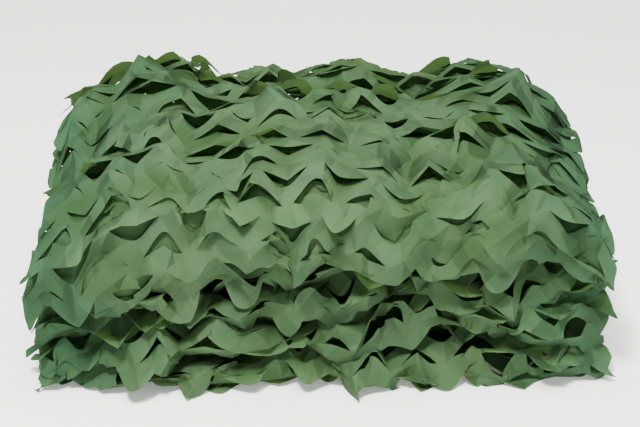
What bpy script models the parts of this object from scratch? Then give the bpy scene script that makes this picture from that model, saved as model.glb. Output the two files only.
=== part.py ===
"""Camouflage netting, folded into a bundle for storage.

The net is one sheet of cloth with rows of wavy slits. It is folded back and forth into
layers that lie a little apart. One long layer goes over the top of the bundle and down its
front as a wide roll, with a second one close under it and a core of two layers inside, and
three smaller folds lie below the roll. All sizes are in metres.
X runs along the width of the cloth, -Y is the front and +Z is up. The origin is at the
bottom centre of the bundle.
"""

import math

import bpy
import numpy as np
from mathutils import Matrix

# --- The sheet --------------------------------------------------------------------------

CLOTH_WIDTH = 0.585
CLOTH_THICKNESS = 0.003
EDGE_RAGGED = 0.006  # how far the ends of the slit rows stray from a straight side edge

# --- The slits --------------------------------------------------------------------------

SLITS_ACROSS = 9
WAVE_PITCH = CLOTH_WIDTH / SLITS_ACROSS
WAVE_HEIGHT = 0.020  # trough to crest of a row, along the cloth
ROW_SPACING = 0.0275  # from one row of slits to the next
SLIT_OPENING = 0.0060  # between the two lips of a slit, along the cloth
LIP_OUT = 0.0095  # how far the upper lip stands out
LIP_IN = 0.0035  # how far the lower lip is drawn in
LIP_VARIATION = 0.55  # share by which that differs from slit to slit
LIP_TILT = 0.25  # share by which it differs between the two corners of a lip
CORNER_VARIATION = 0.0022
SEED = 4

# --- The folded section -----------------------------------------------------------------

BUNDLE_HEIGHT = 0.232  # middle of the top layer where it meets the front roll
CROWN = 0.010  # rise of the two top layers between their ends
CROWNED_LAYERS = ("top", "lining_top")

# The layers in the order in which the cloth runs, each between its front and back end,
# with its two side edges, which stray a little from layer to layer. Odd rows of the table
# run to the front and even ones to the back.
LAYERS = [
    # name, front_y, front_z, back_y, back_z, left_x, right_x
    ("floor", -0.150, 0.0015, 0.150, 0.0015, -0.290, 0.296),
    ("low_1", -0.150, 0.0340, 0.146, 0.0110, -0.292, 0.306),
    ("low_2", -0.146, 0.0420, 0.150, 0.0460, -0.300, 0.314),
    ("low_3", -0.146, 0.0720, 0.148, 0.0535, -0.300, 0.306),
    ("low_4", -0.138, 0.0800, 0.148, 0.0860, -0.296, 0.300),
    ("low_5", -0.138, 0.1080, 0.146, 0.0935, -0.300, 0.300),
    ("roll_underside", -0.126, 0.1160, 0.146, 0.1250, -0.300, 0.292),
    ("top", -0.126, BUNDLE_HEIGHT, 0.146, 0.2260, -0.286, 0.300),
    ("lining_top", -0.126, 0.2190, 0.146, 0.2050, -0.282, 0.292),
    ("lining_underside", -0.126, 0.1300, 0.148, 0.1380, -0.290, 0.288),
    ("core_1", -0.118, 0.1560, 0.148, 0.1720, -0.292, 0.296),
    ("core_2", -0.118, 0.1930, 0.150, 0.1900, -0.286, 0.290),
]

# The fold after each layer: how far it stands out beyond the layer ends, and the number
# of rows of slits round it.
FOLDS = [
    # name, reach, slit_rows
    ("front_1", 0.030, 2),
    ("back_1", 0.030, 2),
    ("front_2", 0.026, 2),
    ("back_2", 0.032, 2),
    ("front_3", 0.026, 2),
    ("back_3", 0.034, 2),
    ("front_roll", 0.060, 0),
    ("back_top", 0.034, 0),
    ("lining_roll", 0.047, 0),
    ("back_4", 0.032, 2),
    ("core_front", 0.030, 0),
]

# The roll, the top and the upper back are slit all over, and so is the last bit of the
# roll's underside before the roll begins.
OUTER_STRETCHES = ("front_roll", "top", "back_top")
OUTER_ROWS = 18
OUTER_START = 0.020
FIRST_ROW = 0.7  # from the start of that stretch to its first row, in row spacings

PATH_STEP = 0.001  # spacing of the points that trace the section
TANGENT_STEP = 0.004  # the section's direction is taken over this length on both sides
PLAIN_COLUMNS = 9
PLAIN_LAYER_STEP = 0.100
PLAIN_FOLD_STEP = 0.014
PLAIN_MARGIN = 0.010  # from a wavy row to the plain row beside it
LAYER_END_GAP = 0.002  # from the first and last plain row of a layer to the folds

# --- How the bundle lies ----------------------------------------------------------------

SIDE_DROP = 0.050  # fall of the top layer at its two sides
SIDE_START = 0.150  # where that fall begins, from the middle
SIDE_POWER = 1.4
EDGE_DROOP = 0.007  # further fall of every layer close to its side edges
EDGE_DROOP_WIDTH = 0.040
CORNER_RETREAT = 0.020  # how far the folds fall back at the corners of the bundle
ROLL_SLOPE = 0.095  # the roll's underside rises this much per metre towards +X
HALF_WIDTH = 0.300  # of the bundle, where the falls and retreats above are reached
HALF_DEPTH = 0.200
FLAT_HEIGHT = 0.004  # up to here the cloth lies flat on what carries the bundle
LOOSE_HEIGHT = 0.030  # over this much more height, it comes to lie freely

# Humps and hollows of the top, each a soft round bump.
HUMPS = [
    # centre_x, centre_y, radius_x, radius_y, rise
    (-0.175, 0.110, 0.060, 0.070, 0.018),
    (-0.255, 0.110, 0.035, 0.060, 0.012),
    (0.235, 0.100, 0.055, 0.080, 0.022),
    (0.060, 0.120, 0.050, 0.060, 0.006),
    (-0.010, 0.140, 0.035, 0.060, -0.010),
    (0.128, 0.095, 0.024, 0.080, -0.026),
    (0.165, -0.005, 0.032, 0.026, -0.012),
    (0.235, -0.070, 0.060, 0.024, -0.013),
    (-0.110, 0.080, 0.028, 0.045, -0.008),
    (-0.190, 0.020, 0.042, 0.026, -0.014),
    (-0.260, -0.035, 0.042, 0.026, -0.012),
]

# Places where the front stands forward or falls back, each a soft round patch.
FRONT_BOWS = [
    # centre_x, centre_z, radius_x, radius_z, forward
    (-0.010, 0.020, 0.055, 0.040, 0.010),
    (-0.200, 0.020, 0.035, 0.030, 0.006),
    (0.115, 0.020, 0.045, 0.035, -0.012),
    (0.200, 0.020, 0.040, 0.035, -0.010),
]

# Slow waves that make the folds uneven, each across the bundle and up through it.
SWAYS = [
    # waves_across_per_m, waves_up_per_m, phase, forward, rise
    (2.6, 2.3, 0.4, 0.0070, 0.0000),
    (5.8, 4.0, 2.1, 0.0050, 0.0014),
    (9.5, -3.3, 4.0, 0.0030, 0.0010),
]

CLOTH_COLOUR = (0.118, 0.216, 0.112, 1.0)
CLOTH_ROUGHNESS = 0.72


def straight(start, end):
    """Points from start up to, but not including, end."""
    count = max(2, round(math.dist(start, end) / PATH_STEP))
    share = np.linspace(0, 1, count, endpoint=False)[:, None]
    return np.array(start) + share * (np.array(end) - np.array(start))


def half_turn(start, end, reach):
    """Half an ellipse from start to end that stands out by reach, away from the middle."""
    centre = (np.array(start) + np.array(end)) / 2
    half = (np.array(end) - np.array(start)) / 2
    outward = math.copysign(reach, centre[0])
    count = round((abs(half[1]) + reach) * math.pi / 2 / PATH_STEP)
    angle = np.linspace(0, math.pi, count, endpoint=False)[:, None]
    return centre - half * np.cos(angle) + np.array([outward, 0]) * np.sin(angle)


def layer_ends(number):
    """The (y, z) ends of a layer, in the order in which the cloth runs."""
    name, front_y, front_z, back_y, back_z, left_x, right_x = LAYERS[number]
    front = (front_y, front_z)
    back = (back_y, back_z)
    return (front, back) if number % 2 else (back, front)


def layer_line(number):
    """A straight layer, or one that is crowned in its middle."""
    line = straight(*layer_ends(number))
    if LAYERS[number][0] in CROWNED_LAYERS:
        line[:, 1] += CROWN * np.sin(np.linspace(0, math.pi, len(line)))
    return line


def trace_section():
    """The folded section: its points, their arc lengths, and where each stretch lies."""
    names = []
    pieces = []
    for number, layer in enumerate(LAYERS):
        names.append(layer[0])
        pieces.append(layer_line(number))
        if number < len(FOLDS):
            fold_name, reach, slit_rows = FOLDS[number]
            names.append(fold_name)
            pieces.append(half_turn(layer_ends(number)[1], layer_ends(number + 1)[0], reach))
    points = np.concatenate(pieces)
    steps = np.linalg.norm(np.diff(points, axis=0), axis=1)
    lengths = np.concatenate([[0], np.cumsum(steps)])
    breaks = np.cumsum([0] + [len(piece) for piece in pieces])
    breaks[-1] -= 1
    spans = {name: (lengths[breaks[k]], lengths[breaks[k + 1]]) for k, name in enumerate(names)}
    return points, lengths, spans


POINTS, LENGTHS, SPANS = trace_section()
LAYER_MIDDLES = [sum(SPANS[layer[0]]) / 2 for layer in LAYERS]
LEFT_EDGES = [layer[5] for layer in LAYERS]
RIGHT_EDGES = [layer[6] for layer in LAYERS]


def point_at(s):
    """The (y, z) point of the section at arc length s."""
    return np.interp(s, LENGTHS, POINTS[:, 0]), np.interp(s, LENGTHS, POINTS[:, 1])


def on_section(s, offset):
    """(y, z) at arc length s, moved by offset to the side that faces up on the top layer."""
    y, z = point_at(s)
    ahead_y, ahead_z = point_at(s + TANGENT_STEP)
    behind_y, behind_z = point_at(s - TANGENT_STEP)
    dy = ahead_y - behind_y
    dz = ahead_z - behind_z
    size = np.hypot(dy, dz)
    return y - offset * dz / size, z + offset * dy / size


def smooth_step(share):
    """Three times the share squared less twice its cube, from 0 to 1."""
    share = np.clip(share, 0, 1)
    return share * share * (3 - 2 * share)


def round_patches(table, a, b):
    """The sum of soft round bumps: each height times e to minus the distance squared."""
    total = 0
    for centre_a, centre_b, radius_a, radius_b, height in table:
        away = ((a - centre_a) / radius_a) ** 2 + ((b - centre_b) / radius_b) ** 2
        total = total + height * np.exp(-away)
    return total


def sag(x, y, z):
    """Rise of the cloth, which is negative at the two sides and in the hollows."""
    height = z / BUNDLE_HEIGHT
    past = smooth_step((abs(x) - SIDE_START) / (HALF_WIDTH - SIDE_START))
    near_edge = np.maximum((abs(x) - HALF_WIDTH) / EDGE_DROOP_WIDTH + 1, 0)
    rise = -SIDE_DROP * (past * height) ** SIDE_POWER
    rise = rise - EDGE_DROOP * near_edge**2 * smooth_step(z / LOOSE_HEIGHT)
    rise = rise + ROLL_SLOPE * x * np.sin(math.pi * np.clip(height, 0, 1))
    return rise + round_patches(HUMPS, x, y) * height**2


def lie(u, s, offset):
    """Where the point u across and s along the cloth lies in the bundle."""
    y, z = on_section(s, offset)
    left = np.interp(s, LAYER_MIDDLES, LEFT_EDGES)
    right = np.interp(s, LAYER_MIDDLES, RIGHT_EDGES)
    x = left + (right - left) * (u / CLOTH_WIDTH + 0.5)
    loose = smooth_step((z - FLAT_HEIGHT) / LOOSE_HEIGHT)
    rise = sag(x, y, np.maximum(z, 0))
    y = y * (1 - CORNER_RETREAT / HALF_DEPTH * (x / HALF_WIDTH) ** 4)
    forward = -round_patches(FRONT_BOWS, x, z) * smooth_step(-y / HALF_DEPTH)
    for across, up, phase, sway_forward, sway_rise in SWAYS:
        wave = np.sin(2 * math.pi * (across * x + up * z) + phase)
        forward = forward + sway_forward * wave
        rise = rise + sway_rise * wave
    height = np.maximum(z + rise * loose, CLOTH_THICKNESS / 2)
    return np.stack([x, y + forward * loose, height], axis=-1)


class Net:
    """The sheet as it is built up, row by row along the cloth."""

    def __init__(self):
        self.points = []
        self.faces = []
        self.across = []
        self.last = None
        self.random = np.random.default_rng(SEED)

    def add_points(self, u, s, offset):
        """New points of the cloth, and their numbers."""
        first = len(self.across)
        self.points.append(lie(u, s, offset))
        self.across.extend(u)
        return list(range(first, first + len(u)))

    def add_row(self, before, after):
        """Join the row to the one before it; before and after are its two lips."""
        if self.last is not None:
            self.join(self.last, before)
        self.last = after

    def join(self, low, high):
        """Faces between two rows, which are triangles where their points don't pair up."""
        if len(low) == len(high):
            for k in range(len(low) - 1):
                self.faces.append((low[k], low[k + 1], high[k + 1], high[k]))
            return
        a = 0
        b = 0
        while a < len(low) - 1 or b < len(high) - 1:
            low_next = self.across[low[a + 1]] if a < len(low) - 1 else math.inf
            high_next = self.across[high[b + 1]] if b < len(high) - 1 else math.inf
            if low_next <= high_next:
                self.faces.append((low[a], low[a + 1], high[b]))
                a += 1
            else:
                self.faces.append((low[a], high[b + 1], high[b]))
                b += 1

    def plain_row(self, s):
        """A straight row without slits."""
        u = np.linspace(-CLOTH_WIDTH / 2, CLOTH_WIDTH / 2, PLAIN_COLUMNS + 1)
        row = self.add_points(u, np.full(len(u), s), np.zeros(len(u)))
        self.add_row(row, row)

    def slit_row(self, s, number, outward):
        """A wavy row: four corners to a wave, with slits at its troughs or at its crests."""
        column = np.arange(4 * SLITS_ACROSS)
        u = (column + 0.5) * WAVE_PITCH / 4 - CLOTH_WIDTH / 2
        high = (column // 2) % 2 == 1
        jitter = self.random.uniform(-1, 1, (2, len(column))) * CORNER_VARIATION
        level = s + np.where(high, WAVE_HEIGHT / 2, -WAVE_HEIGHT / 2) + jitter[0]
        u += jitter[1]
        ragged = self.random.uniform(-1, 1, 2) * EDGE_RAGGED
        u[0] = ragged[0] - CLOTH_WIDTH / 2
        u[-1] = ragged[1] + CLOTH_WIDTH / 2
        middle = high if number % 2 else ~high
        loose = np.repeat(self.random.uniform(-1, 1, len(column) // 2), 2)
        tilt = self.random.uniform(-LIP_TILT, LIP_TILT, len(column))
        stand = middle * outward * (1 + LIP_VARIATION * loose + tilt)
        gap = middle * SLIT_OPENING / 2
        before = self.add_points(u, level - gap, -LIP_IN * stand)
        after = list(before)
        upper = self.add_points(u, level + gap, LIP_OUT * stand)
        for k in np.flatnonzero(middle):
            after[k] = upper[k]
        self.add_row(before, after)


def plain_rows(net, start, end, step):
    """Evenly spaced plain rows from start up to, but not including, end."""
    count = max(1, round((end - start) / step))
    for s in np.linspace(start, end, count, endpoint=False):
        net.plain_row(s)


def slit_fold(net, start, end, count, outward):
    """A fold with slit rows round its middle, between two plain rows."""
    middle = (start + end) / 2
    half_height = (ROW_SPACING * (count - 1) + WAVE_HEIGHT) / 2 + PLAIN_MARGIN
    net.plain_row(middle - half_height)
    for number in range(count):
        net.slit_row(middle + (number - (count - 1) / 2) * ROW_SPACING, number, outward)
    net.plain_row(middle + half_height)


def outer_stretch(net, underside_start):
    """The plain part of the roll's underside, then the slit roll, top and upper back."""
    start = SPANS["front_roll"][0] - OUTER_START
    spacing = (SPANS["back_top"][1] - start) / OUTER_ROWS
    plain_rows(net, underside_start, start, PLAIN_LAYER_STEP)
    net.plain_row(start)
    for number in range(OUTER_ROWS):
        net.slit_row(start + (number + FIRST_ROW) * spacing, number, 1)


def build_net():
    """All rows of the cloth, from the layer at the bottom to the end of the core."""
    net = Net()
    rows_of = {name: slit_rows for name, reach, slit_rows in FOLDS}
    for name, (start, end) in SPANS.items():
        if name in OUTER_STRETCHES:
            continue
        if name == "roll_underside":
            outer_stretch(net, start)
        elif rows_of.get(name):
            slit_fold(net, start, end, rows_of[name], 1 if name.startswith("front") else -1)
        elif name in rows_of:
            plain_rows(net, start, end, PLAIN_FOLD_STEP)
        else:
            plain_rows(net, start + LAYER_END_GAP, end - LAYER_END_GAP, PLAIN_LAYER_STEP)
            net.plain_row(end - LAYER_END_GAP)
    return net


def cloth_material():
    """Matt green polyester."""
    material = bpy.data.materials.new("green_cloth")
    material.use_nodes = True
    surface = material.node_tree.nodes["Principled BSDF"]
    surface.inputs["Base Color"].default_value = CLOTH_COLOUR
    surface.inputs["Roughness"].default_value = CLOTH_ROUGHNESS
    surface.inputs["Metallic"].default_value = 0.0
    return material


def clear_scene():
    for item in list(bpy.data.objects):
        bpy.data.objects.remove(item, do_unlink=True)


def keep_used_points(points, faces):
    """Drop the spare points of the slit rows and number the rest again."""
    used = sorted({corner for face in faces for corner in face})
    number = {old: new for new, old in enumerate(used)}
    return points[used], [tuple(number[corner] for corner in face) for face in faces]


def centre_on_origin(item):
    """Move the mesh so that the bundle is centred over the origin and rests at zero."""
    bpy.context.view_layer.update()
    corners = np.array(item.bound_box)
    middle = (corners.min(axis=0) + corners.max(axis=0)) / 2
    item.data.transform(Matrix.Translation((-middle[0], -middle[1], -corners[:, 2].min())))


def main():
    clear_scene()
    bundle = bpy.data.collections.new("camouflage_netting")
    bpy.context.scene.collection.children.link(bundle)
    net = build_net()
    points, faces = keep_used_points(np.concatenate(net.points), net.faces)
    mesh = bpy.data.meshes.new("net_cloth")
    mesh.from_pydata(points.tolist(), [], faces)
    mesh.materials.append(cloth_material())
    cloth = bpy.data.objects.new("net_cloth", mesh)
    bundle.objects.link(cloth)
    thick = cloth.modifiers.new("thickness", "SOLIDIFY")
    thick.thickness = CLOTH_THICKNESS
    thick.offset = 0.0
    centre_on_origin(cloth)


main()
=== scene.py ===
"""The looks of a camouflage netting, folded into a bundle. All lengths are in metres."""

import math

import bpy
import numpy as np
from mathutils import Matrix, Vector


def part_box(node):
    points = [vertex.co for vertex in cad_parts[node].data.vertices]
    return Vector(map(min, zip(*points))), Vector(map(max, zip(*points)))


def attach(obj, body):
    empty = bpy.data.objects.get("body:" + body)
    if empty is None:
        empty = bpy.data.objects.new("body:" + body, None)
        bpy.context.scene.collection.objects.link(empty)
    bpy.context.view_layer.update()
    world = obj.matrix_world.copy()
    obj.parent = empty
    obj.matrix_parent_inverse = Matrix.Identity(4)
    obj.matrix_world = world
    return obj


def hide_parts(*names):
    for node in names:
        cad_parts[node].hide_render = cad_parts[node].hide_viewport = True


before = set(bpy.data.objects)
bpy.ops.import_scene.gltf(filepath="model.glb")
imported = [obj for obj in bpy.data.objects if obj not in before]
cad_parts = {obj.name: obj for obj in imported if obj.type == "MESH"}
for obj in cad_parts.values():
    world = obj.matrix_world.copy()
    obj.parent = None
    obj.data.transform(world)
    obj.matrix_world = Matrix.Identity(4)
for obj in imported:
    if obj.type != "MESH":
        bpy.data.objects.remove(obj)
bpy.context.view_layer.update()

# --- The outer layer --------------------------------------------------------------------
# The net is one long sheet of light polyester, cut through in rows and folded back and forth.
# Its outer layer goes up the front as a wide roll, over the top and down behind. Nothing
# fixes it: it lies loosely on the layers inside, with the hard creases of its packing.

HALF_WIDTH = 0.300
HALF_DEPTH = 0.200
ROLL_TOP = 0.232

# Each layer between its front and its back end, with its two side edges, in the order in
# which the cloth runs. Odd rows run to the front and even ones to the back.
LAYERS = [
    # name, front_y, front_z, back_y, back_z, left_x, right_x
    ("floor", -0.150, 0.0015, 0.150, 0.0015, -0.290, 0.296),
    ("low_1", -0.150, 0.0340, 0.146, 0.0110, -0.292, 0.306),
    ("low_2", -0.146, 0.0420, 0.150, 0.0460, -0.300, 0.314),
    ("low_3", -0.146, 0.0720, 0.148, 0.0535, -0.300, 0.306),
    ("low_4", -0.138, 0.0800, 0.148, 0.0860, -0.296, 0.300),
    ("low_5", -0.138, 0.1080, 0.146, 0.0935, -0.300, 0.300),
    ("roll_underside", -0.126, 0.1160, 0.146, 0.1250, -0.300, 0.292),
    ("top", -0.126, ROLL_TOP, 0.146, 0.2260, -0.286, 0.300),
    ("lining_top", -0.126, 0.2210, 0.146, 0.2060, -0.286, 0.298),
    ("lining_underside", -0.126, 0.1300, 0.148, 0.1380, -0.290, 0.288),
    ("core_1", -0.118, 0.1560, 0.148, 0.1720, -0.292, 0.296),
    ("core_2", -0.118, 0.1930, 0.150, 0.1900, -0.286, 0.290),
]

# How far the fold after each layer stands out.
FOLD_REACH = [0.030, 0.030, 0.026, 0.032, 0.026, 0.034, 0.060, 0.034, 0.047, 0.032, 0.030]
CROWNED_LAYERS = ("top", "lining_top")
CROWN = 0.010
PATH_STEP = 0.001


def straight(start, end):
    """Evenly spaced points from start up to, but not including, end."""
    count = max(2, round(math.dist(start, end) / PATH_STEP))
    share = np.linspace(0, 1, count, endpoint=False)[:, None]
    return np.array(start) + share * (np.array(end) - np.array(start))


def half_turn(start, end, reach):
    """Half an ellipse: centre minus half the chord times cosine, plus the reach times sine."""
    centre = (np.array(start) + np.array(end)) / 2
    half = (np.array(end) - np.array(start)) / 2
    outward = math.copysign(reach, centre[0])
    count = round((abs(half[1]) + reach) * math.pi / 2 / PATH_STEP)
    angle = np.linspace(0, math.pi, count, endpoint=False)[:, None]
    return centre - half * np.cos(angle) + np.array([outward, 0]) * np.sin(angle)


def trace_section():
    """Layers and half turns one after the other: the points, their arc lengths, and the arc
    length where each layer and each fold begins."""
    ends = []
    for number, layer in enumerate(LAYERS):
        front, back = layer[1:3], layer[3:5]
        ends.append([front, back] if number % 2 else [back, front])
    pieces = []
    for number, pair in enumerate(ends):
        line = straight(*pair)
        if LAYERS[number][0] in CROWNED_LAYERS:
            line[:, 1] += CROWN * np.sin(np.linspace(0, math.pi, len(line)))
        pieces.append(line)
        if number < len(FOLD_REACH):
            pieces.append(half_turn(pair[1], ends[number + 1][0], FOLD_REACH[number]))
    points = np.concatenate(pieces)
    steps = np.linalg.norm(np.diff(points, axis=0), axis=1)
    lengths = np.concatenate([[0], np.cumsum(steps)])
    counts = np.cumsum([0] + [len(piece) for piece in pieces])
    counts[-1] -= 1
    return points, lengths, lengths[counts]


SECTION, LENGTHS, BREAKS = trace_section()
CLOTH_LENGTH = LENGTHS[-1]
LAYER_STARTS = {layer[0]: BREAKS[2 * number] for number, layer in enumerate(LAYERS)}
LAYER_ENDS = {layer[0]: BREAKS[2 * number + 1] for number, layer in enumerate(LAYERS)}
LAYER_MIDDLES = (BREAKS[0:-1:2] + BREAKS[1::2]) / 2
LEFT_EDGES = [layer[5] for layer in LAYERS]
RIGHT_EDGES = [layer[6] for layer in LAYERS]
ROLL_START = LAYER_ENDS["roll_underside"]
ROLL_END = LAYER_STARTS["lining_top"]

# How the bundle lies: its sides fall away, its side edges droop further, its corners are
# drawn in, and what lies half-way up it slopes up towards +X. The floor layer stays flat.
SIDE_DROP = 0.050
SIDE_START = 0.150
SIDE_POWER = 1.4
EDGE_DROOP = 0.012
EDGE_DROOP_WIDTH = 0.045
EDGE_DROOP_MOST = 1.3
EDGE_DROOP_HEIGHT = 0.030
OUTER_EDGE_DROOP = 0.012
OUTER_DROOP_FROM = 0.05
OUTER_DROOP_TO = 0.03
CORNERS_IN = 0.020
CORNER_POWER = 4
SLOPE = 0.095
FLAT_HEIGHT = 0.004
LOOSE_HEIGHT = 0.030
FLOOR_GAP = 0.0006
TANGENT_STEP = 0.006

HUMPS = [
    # centre_x, centre_y, radius_x, radius_y, rise
    (-0.175, 0.110, 0.060, 0.070, 0.012),
    (-0.258, 0.120, 0.034, 0.070, 0.026),
    (0.235, 0.100, 0.055, 0.080, 0.022),
    (0.060, 0.120, 0.050, 0.060, 0.006),
    (-0.010, 0.140, 0.035, 0.060, -0.010),
    (0.128, 0.095, 0.024, 0.080, -0.026),
    (0.165, -0.005, 0.032, 0.026, -0.012),
    (0.235, -0.070, 0.060, 0.024, -0.013),
    (-0.110, 0.080, 0.028, 0.045, -0.008),
    (-0.190, 0.020, 0.042, 0.026, -0.014),
    (-0.260, -0.035, 0.042, 0.026, -0.012),
]
FRONT_BOWS = [
    # centre_x, centre_z, radius_x, radius_z, forward
    (-0.010, 0.020, 0.055, 0.040, 0.010),
    (-0.200, 0.020, 0.035, 0.030, 0.006),
    (0.115, 0.020, 0.045, 0.035, -0.012),
    (0.200, 0.020, 0.040, 0.035, -0.010),
]
SWAYS = [
    # waves_across_per_m, waves_up_per_m, phase, forward, rise
    (2.6, 2.3, 0.4, 0.0070, 0.0000),
    (5.8, 4.0, 2.1, 0.0050, 0.0014),
    (9.5, -3.3, 4.0, 0.0030, 0.0010),
    (4.2, 9.0, 1.0, 0.0040, 0.0045),
]


def smooth_step(share):
    """Three times the share squared less twice its cube, from 0 to 1."""
    share = np.clip(share, 0, 1)
    return share * share * (3 - 2 * share)


def round_patches(table, a, b):
    """The sum of soft round bumps: each height times e to minus the distance squared."""
    total = 0
    for centre_a, centre_b, radius_a, radius_b, height in table:
        away = ((a - centre_a) / radius_a) ** 2 + ((b - centre_b) / radius_b) ** 2
        total = total + height * np.exp(-away)
    return total


def laid(u, s, out):
    """Where the cloth lies, u across and s along it: the section's point, moved out along the
    section's normal, then the drop of the sides and the droop of their edges, the slope, the
    humps, the drawing in of the corners, the bows of the front and the slow waves."""
    s = np.clip(s, 0, CLOTH_LENGTH)
    ahead = np.clip(s + TANGENT_STEP, 0, CLOTH_LENGTH)
    behind = np.clip(s - TANGENT_STEP, 0, CLOTH_LENGTH)
    y, z = (np.interp(s, LENGTHS, line) for line in SECTION.T)
    dy, dz = (
        np.interp(ahead, LENGTHS, line) - np.interp(behind, LENGTHS, line) for line in SECTION.T
    )
    size = np.hypot(dy, dz)
    y, z = y - out * dz / size, z + out * dy / size
    left = np.interp(s, LAYER_MIDDLES, LEFT_EDGES)
    right = np.interp(s, LAYER_MIDDLES, RIGHT_EDGES)
    x = (left + right) / 2 + u * (right - left) / (2 * HALF_WIDTH)
    height = np.maximum(z, 0) / ROLL_TOP
    past = smooth_step((abs(x) - SIDE_START) / (HALF_WIDTH - SIDE_START))
    near_edge = np.clip((abs(x) - HALF_WIDTH) / EDGE_DROOP_WIDTH + 1, 0, EDGE_DROOP_MOST)
    rise = -SIDE_DROP * (past * height) ** SIDE_POWER
    outer = smooth_step((s - ROLL_START) / OUTER_DROOP_FROM)
    outer = outer * smooth_step((ROLL_END - s) / OUTER_DROOP_TO)
    droop = EDGE_DROOP + OUTER_EDGE_DROOP * outer
    rise = rise - droop * near_edge**2 * smooth_step(z / EDGE_DROOP_HEIGHT)
    rise = rise + SLOPE * x * np.sin(math.pi * np.clip(height, 0, 1))
    rise = rise + round_patches(HUMPS, x, y) * height**2
    off_floor = smooth_step((z - FLAT_HEIGHT) / LOOSE_HEIGHT)
    y = y * (1 - CORNERS_IN / HALF_DEPTH * (x / HALF_WIDTH) ** CORNER_POWER)
    forward = -round_patches(FRONT_BOWS, x, z) * smooth_step(-y / HALF_DEPTH)
    for across, up, phase, sway_forward, sway_rise in SWAYS:
        wave = np.sin(2 * math.pi * (across * x + up * z) + phase)
        forward = forward + sway_forward * wave
        rise = rise + sway_rise * wave
    z = np.maximum(z + rise * off_floor, FLOOR_GAP)
    return np.stack([x, y + forward * off_floor, z], axis=-1)


# The rows of cuts: each is a wave across the cloth, eight columns of the mesh to a pitch. In
# every other row the cuts are shifted by half a pitch. A cut reaches three columns to each
# side of its middle, and what is left between two cuts joins the strips above and below.
PITCH_COLUMNS = 8
COLUMNS = 88
HALF_SLIT = 3
BANDS = 3
CREASE_COLUMNS = 4
ROW_SPACING = 0.0240
WAVE = 0.0205
STRAIGHTNESS = 0.08
SPARE_ROWS = 2
ROWS = int(CLOTH_LENGTH / ROW_SPACING) + SPARE_ROWS
SLITS_IN_ROW = COLUMNS // PITCH_COLUMNS + 3
CREASES = COLUMNS // CREASE_COLUMNS + 1


def cut_line(rows, column):
    """A row of the cut in the flat cloth: a cosine and a little of the cosine of three times
    the angle, which makes its flanks straighter."""
    u = (column / COLUMNS - 0.5) * 2 * HALF_WIDTH
    angle = 2 * math.pi * column / PITCH_COLUMNS
    wave = (np.cos(angle) + STRAIGHTNESS * np.cos(3 * angle)) / (1 + STRAIGHTNESS)
    t = rows * ROW_SPACING - WAVE / 2 * wave
    return np.broadcast_to(u, t.shape), t


def slit_place(rows, column):
    """The place along its slit, 0 in the middle, and the slit's number in the row."""
    shifted = column - (rows % 2) * PITCH_COLUMNS // 2 + PITCH_COLUMNS // 2
    return shifted % PITCH_COLUMNS - PITCH_COLUMNS // 2, shifted // PITCH_COLUMNS + 1


# How far the lips of a cut stand out of the cloth, above and below it. Every other cut bows
# down, and its upper lip is a tongue. The rest bow up, and their upper lip is an arch.
TONGUE_OUT = 0.0085
ARCH_OUT = 0.0050
TONGUE_IN = 0.0040
ARCH_IN = 0.0020
LIP_TILT = 0.0045
CALM_AT_EDGES = 0.3

# How wide a cut gapes, how far it is drawn shut where the cloth is tight, and how far it
# closes in a layer that is pressed flat.
SLIT_OPENING = 0.0033
TIGHTENING = 0.0045
CLOSING = 0.0040

# No two cuts are alike. Each lip stands out its own share, each cut is open its own share,
# and some have their lower lip on top. Each strip has its own ridges, and creases across it.
SEED = 11
STAND_MIDDLE, STAND_SPREAD = -0.2, 0.9
STAND_LEAST, STAND_MOST = 0.08, 2.6
OPENING_MIDDLE, OPENING_SPREAD = -0.35, 1.1
OPENING_LEAST, OPENING_MOST = -0.9, 2.2
TURNED_OVER_SHARE = 0.24
ROUNDED_SHARE = 0.45
UNPRESSED_SHARE = 0.22
RIDGE_HEIGHT = 0.45
FOLDED_IN = 1.6
FOLDED_IN_SHARE = 0.06

rng = np.random.default_rng(SEED)
stand_times = np.exp(rng.normal(STAND_MIDDLE, STAND_SPREAD, (2, ROWS, SLITS_IN_ROW)))
stand_times = np.clip(stand_times, STAND_LEAST, STAND_MOST)
opening_times = rng.normal(OPENING_MIDDLE, OPENING_SPREAD, (ROWS, SLITS_IN_ROW))
opening_times = np.clip(opening_times, OPENING_LEAST, OPENING_MOST)
tilt_times = rng.normal(0, 1, (2, ROWS, SLITS_IN_ROW))
turned_over = rng.random((ROWS, SLITS_IN_ROW)) < TURNED_OVER_SHARE
ridges = rng.normal(0, 1, (ROWS + 1, CREASES + 3))
ridges = ridges[1:] + ridges[:-1]
crumples = RIDGE_HEIGHT * (ridges[:, 1:-1] - (ridges[:, :-2] + ridges[:, 2:]) / 2)
crumples -= FOLDED_IN * (rng.random(crumples.shape) < FOLDED_IN_SHARE)
crease_shift = rng.choice([-1, 0, 0, 1], (ROWS, CREASES + 1))
pressed = rng.random((ROWS, CREASES + 1)) > UNPRESSED_SHARE
rounded = rng.random((2, ROWS, SLITS_IN_ROW)) < ROUNDED_SHARE

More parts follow.
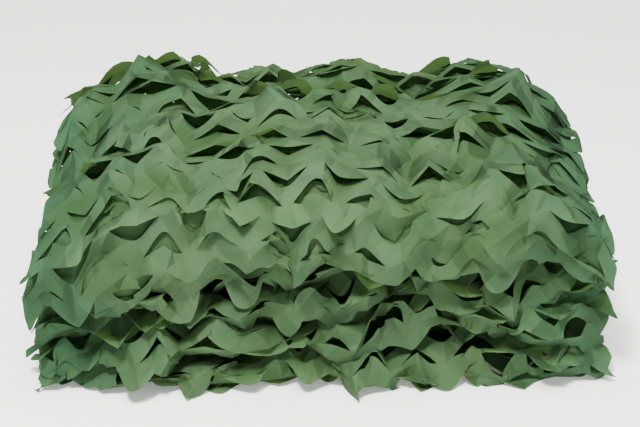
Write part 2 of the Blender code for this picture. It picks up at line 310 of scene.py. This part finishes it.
# Tongues that stand on end at the back of the top.
UPRIGHT = [
    # rows_before_the_back, slit, lip (0 above the cut, 1 below it), times
    (0, 2, 0, 3.5),
    (0, 4, 0, 3.2),
    (1, 6, 1, -5.0),
    (0, 9, 0, 3.5),
    (2, 10, 0, 3.0),
    (1, 11, 1, -6.0),
    (5, 12, 1, -6.0),
    (1, 2, 1, -5.0),
    (4, 1, 0, 3.0),
    (3, 5, 1, -4.0),
    (4, 8, 0, 3.0),
    (2, 8, 0, 2.6),
    (3, 10, 1, -5.0),
    (5, 9, 1, -4.0),
    (4, 3, 0, 2.6),
    (2, 6, 0, 2.6),
    (6, 11, 0, 2.4),
]
BACK_ROW = 2 * round(LAYER_ENDS["top"] / ROW_SPACING / 2)
for before, slit, which, times in UPRIGHT:
    stand_times[which, BACK_ROW - before, slit] = times
    turned_over[BACK_ROW - before, slit] = False
    rounded[which, BACK_ROW - before, slit] = True

# How limp the cloth lies at some places along the section: the layer, how far along it, how
# many times as far the lips stand out, and how much more open the cuts are.
LIMPNESS = [
    # layer, share, times, opened_by
    ("floor", 0.0, 1.9, 0.2),
    ("roll_underside", 0.8, 1.9, 0.9),
    ("top", -0.35, 2.0, 1.8),
    ("top", -0.12, 1.9, 1.7),
    ("top", 0.0, 1.6, 0.7),
    ("top", 0.35, 1.6, 0.0),
    ("top", 0.70, 1.7, 0.0),
    ("top", 0.97, 2.1, 0.0),
    ("top", 1.08, 0.9, 0.0),
    ("lining_top", -0.1, 0.4, 0.0),
    ("lining_top", 0.1, 1.0, 0.0),
]
LIMP_PLACES = [
    LAYER_STARTS[layer] + share * (LAYER_ENDS[layer] - LAYER_STARTS[layer])
    for layer, share, *values in LIMPNESS
]
LIMP_TIMES = [row[2] for row in LIMPNESS]
LIMP_OPENED_BY = [row[3] for row in LIMPNESS]

# Towards the back of the top the cuts are drawn shut, and more so at the fold behind it. At
# the sides of the roll and the top they gape.
TIGHT_BACK = [
    # before_the_back, over, share
    (0.09, 0.06, 1.0),
    (0.02, 0.03, 0.8),
]
GAPING = 0.8
GAPING_FROM_MIDDLE, GAPING_ACROSS = 0.20, 0.06
GAPING_FROM_ROLL, GAPING_ALONG = 0.05, 0.05


def limpness(s):
    """How many times as far the lips stand out: straight lines between the table's places."""
    return np.interp(s, LIMP_PLACES, LIMP_TIMES)


def opened_by(s):
    """How much more open the cuts are: straight lines between the table's places."""
    return np.interp(s, LIMP_PLACES, LIMP_OPENED_BY)


def tightness(u, s):
    """The sum of the smooth steps towards the back, less the gaping sides."""
    from_back = s - LAYER_ENDS["top"]
    at_back = sum(
        share * smooth_step((from_back + before) / over) for before, over, share in TIGHT_BACK
    )
    at_side = smooth_step((abs(u) - GAPING_FROM_MIDDLE) / GAPING_ACROSS)
    at_side = at_side * smooth_step((s - ROLL_START - GAPING_FROM_ROLL) / GAPING_ALONG)
    return at_back - GAPING * at_side


def lip(rows, column, side, opened):
    """How far a lip stands out, above (side 1) or below (side -1) the cut: along straight
    lines from the cut's two ends to the strip's crease, or along a parabola. Also its shift
    along the cloth, which is a parabola."""
    place, number = slit_place(rows, column)
    strip = rows if side > 0 else rows - 1
    which = (1 - side) // 2
    middle = np.clip((column - place) // CREASE_COLUMNS, 0, CREASES)
    peak = crease_shift[strip, middle]
    rising = (HALF_SLIT + place) / (HALF_SLIT + peak)
    falling = (HALF_SLIT - place) / (HALF_SLIT - peak)
    straight_bow = np.maximum(np.where(place < peak, rising, falling), 0)
    round_bow = np.maximum(1 - (place / HALF_SLIT) ** 2, 0)
    bow = np.where(rounded[which, rows, number], round_bow, straight_bow)
    hangs = rows % 2 == 0
    if side > 0:
        out = np.where(hangs, TONGUE_OUT, ARCH_OUT)
    else:
        out = -np.where(hangs, ARCH_IN, TONGUE_IN)
    out = out * stand_times[which, rows, number]
    way = np.where(turned_over[rows, number], -1, 1)
    at_edge = np.minimum(column, COLUMNS - column) < HALF_SLIT
    calm = np.where(hangs & at_edge, CALM_AT_EDGES, 1)
    tilt = LIP_TILT * tilt_times[which, rows, number] * place / HALF_SLIT * calm
    across = (column / COLUMNS - 0.5) * 2 * HALF_WIDTH
    along = rows * ROW_SPACING
    opening = SLIT_OPENING * limpness(along) * (opening_times[rows, number] + opened_by(along))
    opening = opening - TIGHTENING * tightness(across, along)
    opening = opening * opened - CLOSING * (1 - opened)
    return opened * (way * out * bow * calm + tilt * round_bow), side * opening * round_bow


def along_row(values, rows, column):
    """A value at each crease of a row, with straight lines between them."""
    place = column[0] / CREASE_COLUMNS
    low = np.floor(place).astype(int)
    share = place - low
    return values[rows][:, low] * (1 - share) + values[rows][:, low + 1] * share


# The threads hold the cloth together, and it bends easily only across its creases.
CREASE_STIFFNESS = 0.03
CROSS_STIFFNESS = 0.3
FOLDED_ALONG = [0, 0, 0, 0, 1, 2]


class CoarseCloth:
    """The cloth of some stretches of rows, in strips between two cuts: each strip's lower
    lip, middle lines and upper lip, the points that it ties, and its facets."""

    def __init__(self, stretches, opened):
        column = np.arange(COLUMNS + 1)[None, :]
        flat, shift, out, crumple = [], [], [], []
        grids, cut_pairs, cross_pairs, ways, strips = [], [], [], [], []
        count = 0
        for first, last in stretches:
            rows = np.arange(first, last)[:, None]
            low_out, low_shift = lip(rows, column, 1, opened)
            high_out, high_shift = lip(rows + 1, column, -1, opened)
            low_crumple = along_row(crumples, rows[:, 0], column)
            high_crumple = along_row(crumples, rows[:, 0] + 1, column)
            size = rows.size * column.size
            number = np.arange(size).reshape(rows.size, column.size) + count
            lines = []
            for band in range(BANDS + 1):
                share = band / BANDS
                flat.append(np.stack(cut_line(rows + share, column)).reshape(2, -1))
                out.append((low_out * (1 - share) + high_out * share).ravel())
                shift.append((low_shift * (1 - share) + high_shift * share).ravel())
                crumple.append((low_crumple * (1 - share) + high_crumple * share).ravel())
                lines.append(number + band * size)
            count += (BANDS + 1) * size
            place, slit = slit_place(rows[1:], column)
            uncut = abs(place) >= HALF_SLIT
            lines[BANDS][:-1] = np.where(uncut, lines[0][1:], lines[BANDS][:-1])
            grids.append(np.stack(lines, axis=1))
            strips.append(rows[:, 0])
            cut_pairs.append((lines[BANDS][:-1][~uncut], lines[0][1:][~uncut]))
            ways.append(np.where(turned_over[rows[1:], slit], -1, 1)[~uncut])
            cross_pairs.append((lines[BANDS - 1][:-1][uncut], lines[1][1:][uncut]))
        used, grid = np.unique(np.concatenate(grids), return_inverse=True)
        self.grid = grid.reshape(-1, BANDS + 1, COLUMNS + 1)
        self.strips = np.concatenate(strips)
        self.flat = np.concatenate(flat, axis=1)[:, used]
        self.out = np.concatenate(out)[used]
        self.shift = np.concatenate(shift)[used]
        self.crumple = np.concatenate(crumple)[used]
        self.cut = np.searchsorted(used, np.concatenate(cut_pairs, axis=1))
        self.way = np.concatenate(ways)
        self.cross = np.searchsorted(used, np.concatenate(cross_pairs, axis=1))
        self.creased = np.zeros((len(self.strips), COLUMNS + 1), dtype=bool)
        inner = np.arange(1, CREASES - 1)
        at = CREASE_COLUMNS * inner + crease_shift[self.strips][:, inner]
        self.creased[np.arange(len(self.strips))[:, None], at] = pressed[self.strips][:, inner]
        self.split = rng.choice(FOLDED_ALONG, (len(self.strips), CREASES))

    def near_pairs(self):
        """The points that the weave keeps apart: neighbours, and corners across a square."""
        g = self.grid
        near = [(g[:, :, :-1], g[:, :, 1:]), (g[:, :-1], g[:, 1:])]
        near += [(g[:, :-1, :-1], g[:, 1:, 1:]), (g[:, :-1, 1:], g[:, 1:, :-1])]
        return np.concatenate([np.stack([a.ravel(), b.ravel()]) for a, b in near], axis=1)

    def far_pairs(self):
        """The next points but one, which make the cloth stiff, and how stiff each pair is:
        hardly at all across a crease."""
        g = self.grid
        strips, lines, columns = g.shape
        upright = np.broadcast_to(~self.creased[:, None, 1:-1], (strips, lines, columns - 2))
        level = np.ones((strips, lines - 2, columns))
        over_joins = CROSS_STIFFNESS * np.ones(self.cross.shape[1])
        stiff = np.concatenate([upright.ravel(), level.ravel(), over_joins])
        far = [(g[:, :, :-2], g[:, :, 2:]), (g[:, :-2], g[:, 2:])]
        far = np.concatenate([np.stack([a.ravel(), b.ravel()]) for a, b in far], axis=1)
        stiff = CREASE_STIFFNESS + (1 - CREASE_STIFFNESS) * stiff
        return np.concatenate([far, self.cross], axis=1), stiff

    def faces(self):
        """The four corners of each square of the strips."""
        g = self.grid
        quads = np.stack([g[:, :-1, :-1], g[:, :-1, 1:], g[:, 1:, 1:], g[:, 1:, :-1]], axis=-1)
        return quads.reshape(-1, 4)

    def facets(self):
        """The number of each face's facet: the part of a strip between two creases, some of
        them folded once more along the strip."""
        facet = np.cumsum(self.creased, axis=1)[:, :-1]
        strips = np.arange(len(self.strips))[:, None, None]
        split = np.take_along_axis(self.split, facet, axis=1)[:, None, :]
        band = np.arange(BANDS)[None, :, None]
        above = (split > 0) & (band >= split)
        return (2 * (strips * CREASES + facet[:, None, :]) + above).ravel()


# Before it settles, the cloth is shoved about in its own plane, in waves of so many radians
# to the metre across and along it, and gathered across in wavy lines.
SHOVES_ACROSS = [
    # size, rate_across, rate_along, phase
    (0.0080, 17, 23, 1.0),
    (0.0036, 41, -33, 0.0),
]
SHOVES_ALONG = [
    # size, rate_across, rate_along, phase
    (0.0090, 21, -14, 2.0),
    (0.0040, 52, 29, 0.7),
]
GATHERS = 0.0050
GATHER_RATE = 57
GATHER_PHASE = 1.0
GATHER_BEND = 3
GATHER_BEND_RATE = 9


def sine_waves(table, u, s):
    """The sum of sine waves: each size times the sine of its rates times u and s, and its
    phase."""
    return sum(
        size * np.sin(across * u + along * s + phase) for size, across, along, phase in table
    )


def shoved(u, s):
    """The cloth's place in its own plane: u and s plus slow sine waves of both, and to s also
    the gathers, a sine of s whose phase is a slower sine of u."""
    along = sine_waves(SHOVES_ALONG, u, s)
    bend = GATHER_BEND * np.sin(GATHER_BEND_RATE * u)
    along = along + GATHERS * np.sin(GATHER_RATE * s + bend + GATHER_PHASE)
    return u + sine_waves(SHOVES_ACROSS, u, s), s + along


# A point that hardly anything holds is moved as if by this much at least.
LEAST_WEIGHT = 0.05


def pushed(points, pair, length, weight, only_apart):
    """The weighted mean of the moves that bring each pair of points back to its length."""
    way = points[pair[1]] - points[pair[0]]
    now = np.linalg.norm(way, axis=1)
    miss = (now - length) / np.maximum(now, 1e-6)
    if only_apart:
        miss = np.minimum(miss, 0)
    step = way * (0.5 * miss * weight)[:, None]
    move = np.empty_like(points)
    for axis in range(3):
        add = np.bincount(pair[0], step[:, axis], len(points))
        move[:, axis] = add - np.bincount(pair[1], step[:, axis], len(points))
    total = np.bincount(pair[0], weight, len(points)) + np.bincount(pair[1], weight, len(points))
    return move / np.maximum(total, LEAST_WEIGHT)[:, None]


def flattened(points, faces, facet, firmness):
    """The mean of the moves that bring the corners of each facet towards its own plane, the
    one whose normal is the direction in which its corners spread least."""
    corner = points[faces].reshape(-1, 3)
    label = np.repeat(facet, 4)
    total = facet.max() + 1
    share = np.maximum(np.bincount(label, minlength=total), 1)
    centre = [np.bincount(label, corner[:, axis], total) / share for axis in range(3)]
    off = corner - np.stack(centre, axis=1)[label]
    spread = np.empty((total, 3, 3))
    for a in range(3):
        for b in range(3):
            spread[:, a, b] = np.bincount(label, off[:, a] * off[:, b], total)
    normal = np.linalg.eigh(spread)[1][:, :, 0]
    away = (off * normal[label]).sum(axis=1) * firmness[label]
    step = -away[:, None] * normal[label]
    point = faces.ravel()
    uses = np.bincount(point, minlength=len(points))
    move = [np.bincount(point, step[:, axis], len(points)) / uses for axis in range(3)]
    return np.stack(move, axis=1)


# How the cloth settles in each round: how strongly its threads pull back to their length,
# how strongly it resists a bend, how strongly a point is drawn to where it was laid, how far
# it falls where it hangs steeply, how far apart the two lips of a cut stay, and how far it may
# slip aside, as a share of its reach.
THREAD_PULL = 1.6
BEND_PUSH, BEND_LENGTH = 1.2, 0.995
HOME_PULL = 0.04
FALL, PLAIN_CLOTH_FALL = 0.00034, 0.15
STEEP_BELOW = 0.75
LIP_GAP = 0.0004
ASIDE = 0.5
FLATTENING_ROUNDS = 8
NORMAL_STEP = 0.001

# It starts with a fine crinkle and the ridges of its strips. Some facets are firmer than
# others, and its slack varies.
CRUMPLE = 0.0095
CRINKLE, CRINKLE_SEED = 0.0006, 3
FIRMNESS_LEAST, FIRMNESS_MOST, FIRMNESS_SEED = 0.7, 1.0, 5
SLACK_VARIATION = 0.035
SLACK_WAVES = [
    # rate_across, rate_along, phase
    (31, 12, 0.0),
    (-23, 19, 1.3),
]


def settled(cloth, slack, reach, opened, rounds, sunk):
    """The cloth let go: its threads keep their length, with some slack, its facets stay
    nearly flat, it falls a little, and it keeps within its reach of the layer's place, or of
    the place half a row further and sunk below it. Also how far above the layer each point
    ends."""
    u, s = shoved(cloth.flat[0], cloth.flat[1] + (ROW_SPACING / 2 if sunk else 0))
    limp = limpness(s)
    start = np.random.default_rng(CRINKLE_SEED).normal(0, CRINKLE, len(u))
    start = (start + opened * CRUMPLE * cloth.crumple) * limp
    base = laid(u, s, -sunk)
    normal = laid(u, s, NORMAL_STEP) - laid(u, s, -NORMAL_STEP)
    normal /= np.linalg.norm(normal, axis=1)[:, None]
    points = laid(u, s + cloth.shift, cloth.out * limp + start - sunk)
    home = points.copy()
    near = cloth.near_pairs()
    far, stiffness = cloth.far_pairs()
    faces, facet = cloth.faces(), cloth.facets()
    firmness = np.random.default_rng(FIRMNESS_SEED)
    firmness = firmness.uniform(FIRMNESS_LEAST, FIRMNESS_MOST, facet.max() + 1)
    one, other = (np.sin(across * u + along * s + phase) for across, along, phase in SLACK_WAVES)
    patchy = slack + SLACK_VARIATION * one * other
    near_length, far_length = (
        (patchy[a] + patchy[b]) / 2 * np.linalg.norm(cloth.flat[:, a] - cloth.flat[:, b], axis=0)
        for a, b in (near, far)
    )
    all_alike = np.ones(near.shape[1])
    tongue = np.maximum(cloth.out / TONGUE_OUT, 0)
    fall = FALL * (PLAIN_CLOTH_FALL + tongue) * smooth_step(STEEP_BELOW - normal[:, 2])
    lower, upper = cloth.cut
    apart = LIP_GAP + LIP_GAP * (abs(cloth.out[upper]) + abs(cloth.out[lower])) / ARCH_OUT
    for number in range(rounds):
        points = points + THREAD_PULL * pushed(points, near, near_length, all_alike, False)
        points = points + BEND_PUSH * pushed(points, far, BEND_LENGTH * far_length, stiffness, True)
        points += flattened(points, faces, facet, firmness)
        points += HOME_PULL * (home - points)
        points[:, 2] -= fall
        high = np.einsum("ij,ij->i", points - base, normal)
        over = high - np.clip(high, -reach[0], reach[1])
        points -= normal * over[:, None]
        aside = points[:, 0] - base[:, 0]
        points[:, 0] -= aside - np.clip(aside, -ASIDE * reach[1], ASIDE * reach[1])
        gap = cloth.way * np.einsum("ij,ij->i", points[upper] - points[lower], normal[upper])
        push = (0.5 * np.maximum(apart - gap, 0) * cloth.way)[:, None] * normal[upper]
        points[upper] += push
        points[lower] -= push
        points[:, 2] = np.maximum(points[:, 2], FLOOR_GAP)
    for number in range(FLATTENING_ROUNDS):
        points = points + flattened(points, faces, facet, firmness)
        points[:, 2] = np.maximum(points[:, 2], FLOOR_GAP)
    return points, np.einsum("ij,ij->i", points - base, normal) - sunk


# A bend of the coarse cloth begins to stay sharp at the first angle, in degrees, and is a
# hard crease from the second.
SOFT_BEND, HARD_BEND = 2, 6


def keep_creases(mesh, points, faces):
    """How sharp each edge stays: from 0 to 1 with the angle between its two faces' normals."""
    corner = points[faces]
    normal = np.cross(corner[:, 2] - corner[:, 0], corner[:, 3] - corner[:, 1])
    normal /= np.linalg.norm(normal, axis=1)[:, None]
    sides = np.sort(np.stack([faces, np.roll(faces, -1, axis=1)], axis=-1), axis=-1)
    key = (sides[..., 0] * len(points) + sides[..., 1]).ravel()
    order = np.argsort(key, kind="stable")
    key, face = key[order], (np.arange(len(key)) // 4)[order]
    double = np.flatnonzero(key[1:] == key[:-1])
    turn = np.arccos(np.clip((normal[face[double]] * normal[face[double + 1]]).sum(1), -1, 1))
    ends = np.empty(2 * len(mesh.edges), dtype=np.int32)
    mesh.edges.foreach_get("vertices", ends)
    ends = np.sort(ends.reshape(-1, 2).astype(np.int64), axis=1)
    wanted = ends[:, 0] * len(points) + ends[:, 1]
    place = np.clip(np.searchsorted(key[double], wanted), 0, len(double) - 1)
    angle = np.where(key[double][place] == wanted, turn[place], 0.0)
    sharp = np.clip((np.degrees(angle) - SOFT_BEND) / (HARD_BEND - SOFT_BEND), 0, 1)
    crease = mesh.attributes.new("crease_edge", "FLOAT", "EDGE")
    crease.data.foreach_set("value", sharp.astype(np.float32))


class Socket:
    """A socket of a shader. Sums, differences and products with it add their Math nodes."""

    def __init__(self, tree, socket=None):
        self.tree = tree
        self.socket = socket

    def feed(self, node, values):
        """Set or link some inputs of a node."""
        for key, value in values.items():
            if isinstance(value, Socket):
                self.tree.links.new(value.socket, node.inputs[key])
            else:
                node.inputs[key].default_value = value

    def node(self, kind, values=(), output=0, **settings):
        """One node of this kind: its settings first, then the values or links of its inputs."""
        made = self.tree.nodes.new(kind)
        for key, value in settings.items():
            setattr(made, key, value)
        self.feed(made, dict(values))
        return Socket(self.tree, made.outputs[output])

    def math(self, operation, first, second=0.0):
        return self.node("ShaderNodeMath", {0: first, 1: second}, operation=operation)

    def vector(self, operation, second, output=0):
        inputs = {0: self, 1: second}
        return self.node("ShaderNodeVectorMath", inputs, output, operation=operation)

    def clamped(self, low, high):
        """From 0 at low to 1 at high."""
        return self.node("ShaderNodeMapRange", {"Value": self, "From Min": low, "From Max": high})

    def mixed(self, first, second):
        """The first colour where this is 0, and the second where it is 1."""
        inputs = {"Factor": self, 6: first, 7: second}
        return self.node("ShaderNodeMix", inputs, output=2, data_type="RGBA")

    def __add__(self, other):
        return self.math("ADD", self, other)

    def __sub__(self, other):
        return self.math("SUBTRACT", self, other)

    def __rsub__(self, other):
        return self.math("SUBTRACT", other, self)

    def __mul__(self, other):
        return self.math("MULTIPLY", self, other)

    __radd__ = __add__
    __rmul__ = __mul__


# Colours of the cloth: its two tones, the bluer tone of its patches, which also paints shade on
# the sides of the bundle, the dark olive of painted shade that begins between the lips and is
# full where they lie deep, and the light that comes through.
SAGE = (0.049, 0.098, 0.041, 1.0)
SAGE_PALE = (0.068, 0.124, 0.056, 1.0)
SAGE_BLUE_PATCH_AND_SIDE_SHADE = (0.029, 0.084, 0.042, 1.0)
PAINTED_SHADE_OLIVE = (0.027, 0.056, 0.011, 1.0)
GLOW = (0.078, 0.150, 0.040, 1.0)
GLOW_SHARE = 0.40
CLOUD_SCALE, CLOUD_RANGE = 9.0, (0.35, 0.65)
PATCH_SCALE, PATCH_RANGE, PATCH_SHARE = 34.0, (0.5, 0.75), 0.5
SIDE_SHADE_SHARE = 0.7
PAINTED_SHADE_OLIVE_SHARE = 0.35
SHALLOW, DEEP = 0.000625, 0.00625

# Creases that packing has pressed into the cloth: the way across them, and the distance from
# a fold to the next one, which is folded the other way. They wander a little.
PRESSED_FOLDS = [
    ((0.90, 0.15, 0.45), 0.021),
    ((-0.62, 0.35, 0.75), 0.026),
    ((0.25, 0.85, -0.48), 0.033),
    ((0.97, -0.35, -0.25), 0.037),
]
FOLD_WANDER = (0.06, 0.06, 0.06)
WANDER_SCALE = 11.0
FOLD_BUMP = 0.28

# Warp and weft threads: long streaks along each of the cloth's two directions.
THREADS = [(1500.0, 110.0, 0.0), (110.0, 1500.0, 0.0)]
THREAD_BUMP, THREAD_STRENGTH = 0.0005, 0.12


def green_polyester():
    """Dull green polyester: cloudy shifts of colour, painted shade on the sides and deep
    between the lips, pressed folds and a fine weave, and some light through it."""
    material = bpy.data.materials.new("green_cloth")
    material.use_nodes = True
    tree = material.node_tree
    start = Socket(tree)
    surface = tree.nodes["Principled BSDF"]
    place = start.node("ShaderNodeTexCoord", output=3)
    stand = start.node("ShaderNodeAttribute", output=2, attribute_name="stand")
    flat = start.node("ShaderNodeAttribute", output=1, attribute_name="flat")

    def noise(vector, scale, detail, output=0):
        inputs = {"Vector": vector, "Scale": scale, "Detail": detail}
        return start.node("ShaderNodeTexNoise", inputs, output)

    base = noise(place, CLOUD_SCALE, 3.0).clamped(*CLOUD_RANGE).mixed(SAGE, SAGE_PALE)
    patches = PATCH_SHARE * noise(place, PATCH_SCALE, 2.0).clamped(*PATCH_RANGE)
    base = patches.mixed(base, SAGE_BLUE_PATCH_AND_SIDE_SHADE)
    # Painted shade: towards the sides of the bundle the colour turns darker and bluer, as shade
    # falls there.
    across = start.math("ABSOLUTE", start.node("ShaderNodeSeparateXYZ", {"Vector": place}))
    base = (SIDE_SHADE_SHARE * across.clamped(SIDE_START, HALF_WIDTH)).mixed(base, SAGE_BLUE_PATCH_AND_SIDE_SHADE)
    # Painted shade: where a point lies deep below its layer, between and under the lips, its colour
    # turns towards a dark olive.
    painted_deep_shade = 1.0 - stand.clamped(-DEEP, -SHALLOW)
    base = (PAINTED_SHADE_OLIVE_SHARE * painted_deep_shade).mixed(base, PAINTED_SHADE_OLIVE)

    weave = sum(noise(flat.vector("MULTIPLY", thread), 1.0, 1.0) for thread in THREADS)
    stray = noise(place, WANDER_SCALE, 2.0, output=1).vector("MULTIPLY", FOLD_WANDER)
    wandering = place.vector("ADD", stray)
    folds = sum(
        start.math("PINGPONG", wandering.vector("DOT_PRODUCT", way, output=1), half_wave)
        for way, half_wave in PRESSED_FOLDS
    )
    fine = {"Height": weave, "Strength": THREAD_STRENGTH, "Distance": THREAD_BUMP}
    fine = start.node("ShaderNodeBump", fine)
    bump = {"Height": folds, "Strength": 1.0, "Distance": FOLD_BUMP, "Normal": fine}
    finish = {
        "Base Color": base,
        "Normal": start.node("ShaderNodeBump", bump),
        "Roughness": 0.85,
        "Metallic": 0.0,
        "Specular IOR Level": 0.08,
    }
    start.feed(surface, finish)
    through = start.node("ShaderNodeBsdfTranslucent", {"Color": GLOW})
    both = {"Fac": GLOW_SHARE, 1: Socket(tree, surface.outputs[0]), 2: through}
    both = start.node("ShaderNodeMixShader", both)
    start.feed(tree.nodes["Material Output"], {"Surface": both})
    return material


GREEN_CLOTH = green_polyester()


def rows_between(start, end):
    """The numbers of the rows of cuts next to two places along the section."""
    return round(start / ROW_SPACING), round(end / ROW_SPACING)


def net_sheet(name, stretches, level, slack, reach, opened=1.0, rounds=140, sunk=0.0):
    """A sheet of the net over some stretches of rows: its coarse cloth settled, its sharpest
    bends kept as creases, the rest rounded by subdivision, and its finish and place given.
    Slack is how many times its flat length a thread has, reach how far the sheet may lie
    below and above its layer, and opened goes from 0, pressed flat, to 1, loose."""
    cloth = CoarseCloth(stretches, opened)
    points, high = settled(cloth, slack, reach, opened, rounds, sunk)
    mesh = bpy.data.meshes.new(name)
    mesh.from_pydata(points.tolist(), [], cloth.faces().tolist())
    stand = mesh.attributes.new("stand", "FLOAT", "POINT")
    stand.data.foreach_set("value", high.astype(np.float32))
    flat = mesh.attributes.new("flat", "FLOAT_VECTOR", "POINT")
    flat_place = np.pad(cloth.flat.T, ((0, 0), (0, 1)))
    flat.data.foreach_set("vector", flat_place.astype(np.float32).ravel())
    keep_creases(mesh, points, cloth.faces())
    mesh.shade_smooth()
    mesh.materials.append(GREEN_CLOTH)
    piece = bpy.data.objects.new(name, mesh)
    bpy.context.scene.collection.objects.link(piece)
    rounding = piece.modifiers.new("rounding", "SUBSURF")
    rounding.levels = rounding.render_levels = level
    count = sum(last - first for first, last in stretches)
    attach(piece, "root")
    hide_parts("net_cloth")
    count * ROW_SPACING
    return piece


OUTER_LEAD = 0.030
outer_rows = rows_between(ROLL_START - OUTER_LEAD, ROLL_END)
outer_layer = net_sheet("net_outer_layer", [outer_rows], level=2, slack=1.08, reach=(0.008, 0.024))

# --- The front folds --------------------------------------------------------------------
# Below the roll, the same cloth turns three times at the front, in small loose folds. Each
# lies on the one below it, and their lips stand out and hang down, the lowest to the floor.

FRONT_MARGIN = 0.045


def fold_rows(layer, margin):
    """The rows round the fold after a layer, and a little of the layers on both sides."""
    following = LAYERS[[row[0] for row in LAYERS].index(layer) + 1][0]
    return rows_between(LAYER_ENDS[layer] - margin, LAYER_STARTS[following] + margin)


front_rows = [fold_rows(layer, FRONT_MARGIN) for layer in ("floor", "low_2", "low_4")]
front_folds = net_sheet("net_front_folds", front_rows, level=2, slack=1.13, reach=(0.010, 0.026))

# --- The back folds ---------------------------------------------------------------------
# The same cloth turns at the back too: three times below the roll, and once inside it. These
# folds are pressed a little flatter than the front ones.

BACK_MARGIN = 0.025

back_rows = [
    fold_rows(layer, BACK_MARGIN) for layer in ("low_1", "low_3", "low_5", "lining_underside")
]
back_folds = net_sheet("net_back_folds", back_rows, level=2, slack=1.10, reach=(0.008, 0.016))

# --- The lining of the roll -------------------------------------------------------------
# From the fold behind the top, the cloth runs forward again inside the roll, as its first
# inner layer, and turns at the front. It is held nearly smooth by the layers round it.

lining_rows = (outer_rows[1], fold_rows("lining_top", FRONT_MARGIN)[1])
lining = net_sheet(
    "net_lining", [lining_rows], level=1, slack=1.03, reach=(0.008, 0.004), opened=0.3
)

# --- The pleat under the outer layer ----------------------------------------------------
# A pleat of the cloth lies close under the whole outer layer, half a row further along, so
# that its own strips lie under the open cuts. It is pressed flat by the layer over it.

PLEAT_DEPTH = 0.0085
PLEAT_LAG = 0.020
PLEAT_TAIL = 0.040

pleat_rows = rows_between(ROLL_START + PLEAT_LAG, ROLL_END + PLEAT_TAIL)
pleat = net_sheet(
    "net_back_pleat",
    [pleat_rows],
    level=1,
    slack=1.02,
    reach=(0.003, 0.003),
    opened=0.4,
    rounds=80,
    sunk=PLEAT_DEPTH,
)

# --- The inner layers -------------------------------------------------------------------
# What is left of the cloth lies flat between its folds: six layers and the underside of the
# roll, then the underside of the lining and a core of two layers. It is pressed by what lies
# on it, and shows only at the sides of the bundle and through the cuts.

taken = sorted(front_rows + back_rows + [outer_rows, lining_rows])
starts = [0] + [last for first, last in taken]
ends = [first for first, last in taken] + [ROWS - SPARE_ROWS]
hidden = [(first, last) for first, last in zip(starts, ends) if last > first]
low_rows = [(first, last) for first, last in hidden if last <= outer_rows[0]]
core_rows = [(first, last) for first, last in hidden if first >= outer_rows[1]]
low_layers, core_layers = (
    net_sheet(name, rows, level=1, slack=1.02, reach=(0.003, 0.004), opened=0.5, rounds=60)
    for name, rows in (("net_low_layers", low_rows), ("net_core_layers", core_rows))
)

# The sheets are parts of one cloth, so they are centred together on the solid's box.
solid_low, solid_high = (np.array(corner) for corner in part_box("net_cloth"))
sheets = [outer_layer, front_folds, back_folds, lining, pleat, low_layers, core_layers]
corners = np.array([np.array(sheet.bound_box) for sheet in sheets]).reshape(-1, 3)
offset = (solid_low + solid_high) / 2 - (corners.min(axis=0) + corners.max(axis=0)) / 2
for sheet in sheets:
    points = np.empty(3 * len(sheet.data.vertices), dtype=np.float32)
    sheet.data.vertices.foreach_get("co", points)
    points = points.reshape(-1, 3) + np.array([offset[0], offset[1], 0.0], dtype=np.float32)
    sheet.data.vertices.foreach_set("co", points.ravel())
    sheet.data.update()

# --- The studio -------------------------------------------------------------------------
# A pale matt floor under an even pale sky. A small key light stands high at the front left, a
# broad one hangs overhead, and a broad low one fills in from the front.

FLOOR_COLOUR = (0.92, 0.92, 0.91, 1.0)
FLOOR_ROUGHNESS = 0.9
FLOOR_CORNERS = [(-6, -6, 0), (6, -6, 0), (6, 6, 0), (-6, 6, 0)]
SKY_COLOUR = (1.0, 1.0, 1.0, 1.0)
SKY_STRENGTH = 0.76

floor_mesh = bpy.data.meshes.new("floor")
floor_mesh.from_pydata(FLOOR_CORNERS, [], [(0, 1, 2, 3)])
floor_material = bpy.data.materials.new("floor")
floor_material.use_nodes = True
floor_surface = floor_material.node_tree.nodes["Principled BSDF"]
floor_surface.inputs["Base Color"].default_value = FLOOR_COLOUR
floor_surface.inputs["Roughness"].default_value = FLOOR_ROUGHNESS
floor_mesh.materials.append(floor_material)
floor = bpy.data.objects.new("floor", floor_mesh)
bpy.context.scene.collection.objects.link(floor)

LIGHTS = [
    # name, place, size, power
    ("key", (-0.40, -1.0, 2.15), 0.40, 120),
    ("overhead", (0.1, -0.4, 2.6), 1.8, 118),
    ("fill", (0.2, -2.2, 0.5), 1.8, 54),
]
LIT_POINT = Vector((0.0, 0.0, 0.1))

for name, place, size, power in LIGHTS:
    lamp = bpy.data.lights.new(name, "AREA")
    lamp.shape = "DISK"
    lamp.size = size
    lamp.energy = power
    light = bpy.data.objects.new(name, lamp)
    light.location = place
    light.rotation_euler = (LIT_POINT - Vector(place)).to_track_quat("-Z", "Y").to_euler()
    bpy.context.scene.collection.objects.link(light)

world = bpy.data.worlds.new("sky")
world.use_nodes = True
sky = world.node_tree.nodes["Background"]
sky.inputs["Color"].default_value = SKY_COLOUR
sky.inputs["Strength"].default_value = SKY_STRENGTH
bpy.context.scene.world = world

# The camera looks down at the front. The focal length is in pixels of an image 640 wide.
ELEVATION = math.radians(29.28)
TURN = math.radians(-1.15)
DISTANCE = 1.569
TARGET = Vector((-0.0007, 0.0, 0.1152))
FOCAL_PIXELS = 1396.3
IMAGE_WIDTH = 640
SENSOR_WIDTH = 36.0

camera_data = bpy.data.cameras.new("camera")
camera_data.sensor_width = SENSOR_WIDTH
camera_data.lens = FOCAL_PIXELS / IMAGE_WIDTH * SENSOR_WIDTH
camera = bpy.data.objects.new("camera", camera_data)
camera.rotation_euler = (math.pi / 2 - ELEVATION, 0.0, TURN)
toward = Vector((0.0, 0.0, -1.0))
toward.rotate(camera.rotation_euler)
camera.location = TARGET - toward * DISTANCE
bpy.context.scene.collection.objects.link(camera)
bpy.context.scene.camera = camera
